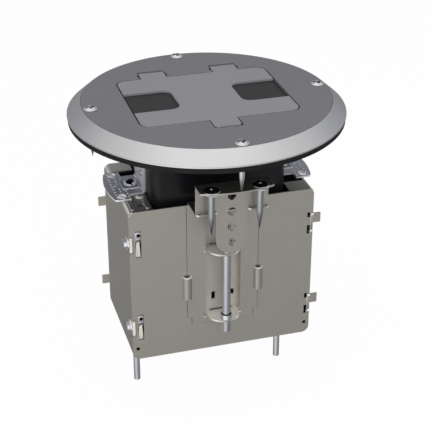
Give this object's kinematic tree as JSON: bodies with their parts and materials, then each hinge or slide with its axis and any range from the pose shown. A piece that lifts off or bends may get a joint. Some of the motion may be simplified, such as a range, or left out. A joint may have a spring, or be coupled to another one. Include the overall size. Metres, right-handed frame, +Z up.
{
  "type": "floor socket box",
  "caption": "Round-covered floor box with a hinged lid, sliding cable doors, a levelling neck and a sheet-steel box on height-adjustable floor brackets, for power and data outlets.",
  "frame": {"origin": "centre of the trim ring, on the finished floor under its gasket", "axes": "+Z up out of the floor, -Y to the side with the finger tab, +X to the right of it"},
  "size_m": [0.254, 0.254, 0.3001],
  "materials": {
    "cast_aluminium": "fine blasted and clear-coated casting",
    "black_rubber": "matt moulded rubber",
    "cover_grey": "fine-textured grey powder coat",
    "lid_grey": "fine-textured grey powder coat, a little lighter than the plate",
    "door_plastic": "fine-grained near-black plastic",
    "black_plastic": "black moulded plastic with a faint sheen",
    "galvanised_steel": "warm grey zinc-coated sheet steel",
    "zinc_plate": "bluish zinc plate",
    "bright_zinc": "bright zinc-plated steel",
    "black_oxide": "glossy black-coated screw heads",
    "clip_plastic": "cream plastic",
    "outlet_plastic": "dark glossy thermoset",
    "jack_plastic": "dark grey moulded plastic",
    "ground_green": "green-passivated screw"
  },
  "bodies": {
    "box": {"front_wall": "galvanised_steel", "back_wall": "galvanised_steel", "side_panel_left": "galvanised_steel", "side_panel_right": "galvanised_steel", "floor_panel": "galvanised_steel", "rod_channel_front": "galvanised_steel", "rod_channel_back": "galvanised_steel", "seam_loops": "galvanised_steel", "panel_screws": "bright_zinc", "panel_clips": "clip_plastic", "levelling_nuts": "zinc_plate", "device_plate": "galvanised_steel", "yokes": "zinc_plate", "device_screws": "bright_zinc", "power_receptacle": "outlet_plastic", "data_frame": "black_plastic", "data_jacks": "jack_plastic", "divider": "galvanised_steel", "ground_screw": "ground_green"},
    "cover": {"trim_ring": "cast_aluminium", "floor_gasket": "black_rubber", "cover_plate": "cover_grey", "ring_screws": "bright_zinc", "seat_frame": "black_plastic", "frame_screws": "bright_zinc", "hinge_pins": "bright_zinc", "neck": "black_plastic", "neck_screws": "bright_zinc", "ear_left": "zinc_plate", "ear_right": "zinc_plate", "ear_screws": "bright_zinc"},
    "lid": {"lid": "lid_grey", "door_guide": "black_plastic", "guide_screws": "bright_zinc"},
    "left_door": {"cable_door_left": "door_plastic"},
    "right_door": {"cable_door_right": "door_plastic"},
    "left_levelling_screw": {"levelling_screw_left": "bright_zinc", "levelling_clip_left": "zinc_plate"},
    "right_levelling_screw": {"levelling_screw_right": "bright_zinc", "levelling_clip_right": "zinc_plate"},
    "front_bracket": {"floor_bracket_front": "galvanised_steel", "bracket_screws_front": "bright_zinc", "lift_plate_front": "galvanised_steel"},
    "back_bracket": {"floor_bracket_back": "galvanised_steel", "bracket_screws_back": "bright_zinc", "lift_plate_back": "galvanised_steel"},
    "front_rod": {"height_rod_front": "bright_zinc", "rod_collar_front": "bright_zinc"},
    "back_rod": {"height_rod_back": "bright_zinc", "rod_collar_back": "bright_zinc"}
  },
  "joints": [
    {"name": "cover_height", "type": "slide", "parent": "box", "child": "cover", "axis": [0, 0, 1], "range_m": [0, 0.02]},
    {"name": "lid_hinge", "type": "hinge", "parent": "cover", "child": "lid", "pos_m": [0, 0.066, 0.0118], "axis": [-1, 0, 0], "range_deg": [0, 110]},
    {"name": "left_door_slide", "type": "slide", "parent": "lid", "child": "left_door", "axis": [1, 0, 0], "range_m": [0, 0.024]},
    {"name": "right_door_slide", "type": "slide", "parent": "lid", "child": "right_door", "axis": [-1, 0, 0], "range_m": [0, 0.024]},
    {"name": "left_levelling_turn", "type": "hinge", "parent": "cover", "child": "left_levelling_screw", "pos_m": [-0.0739, 0, -0.062], "axis": [0, 0, 1], "range_deg": [-10, 5680]},
    {"name": "right_levelling_turn", "type": "hinge", "parent": "cover", "child": "right_levelling_screw", "pos_m": [0.0739, 0, -0.062], "axis": [0, 0, 1], "range_deg": [-10, 5680]},
    {"name": "front_bracket_height", "type": "slide", "parent": "box", "child": "front_bracket", "axis": [0, 0, 1], "range_m": [-0.042, 0.008]},
    {"name": "back_bracket_height", "type": "slide", "parent": "box", "child": "back_bracket", "axis": [0, 0, 1], "range_m": [-0.042, 0.008]},
    {"name": "front_rod_turn", "type": "hinge", "parent": "box", "child": "front_rod", "pos_m": [0, -0.0643, -0.1818], "axis": [0, 0, 1], "range_deg": [-2050, 10730]},
    {"name": "back_rod_turn", "type": "hinge", "parent": "box", "child": "back_rod", "pos_m": [0, 0.0643, -0.1818], "axis": [0, 0, 1], "range_deg": [-2050, 10730]}
  ],
  "couplings": [
    {"joint": "left_levelling_turn", "follows": "cover_height", "rad_per_m": 4947.4},
    {"joint": "right_levelling_turn", "follows": "cover_height", "rad_per_m": 4947.4},
    {"joint": "front_rod_turn", "follows": "front_bracket_height", "rad_per_m": -4452.7},
    {"joint": "back_rod_turn", "follows": "back_bracket_height", "rad_per_m": -4452.7}
  ]
}
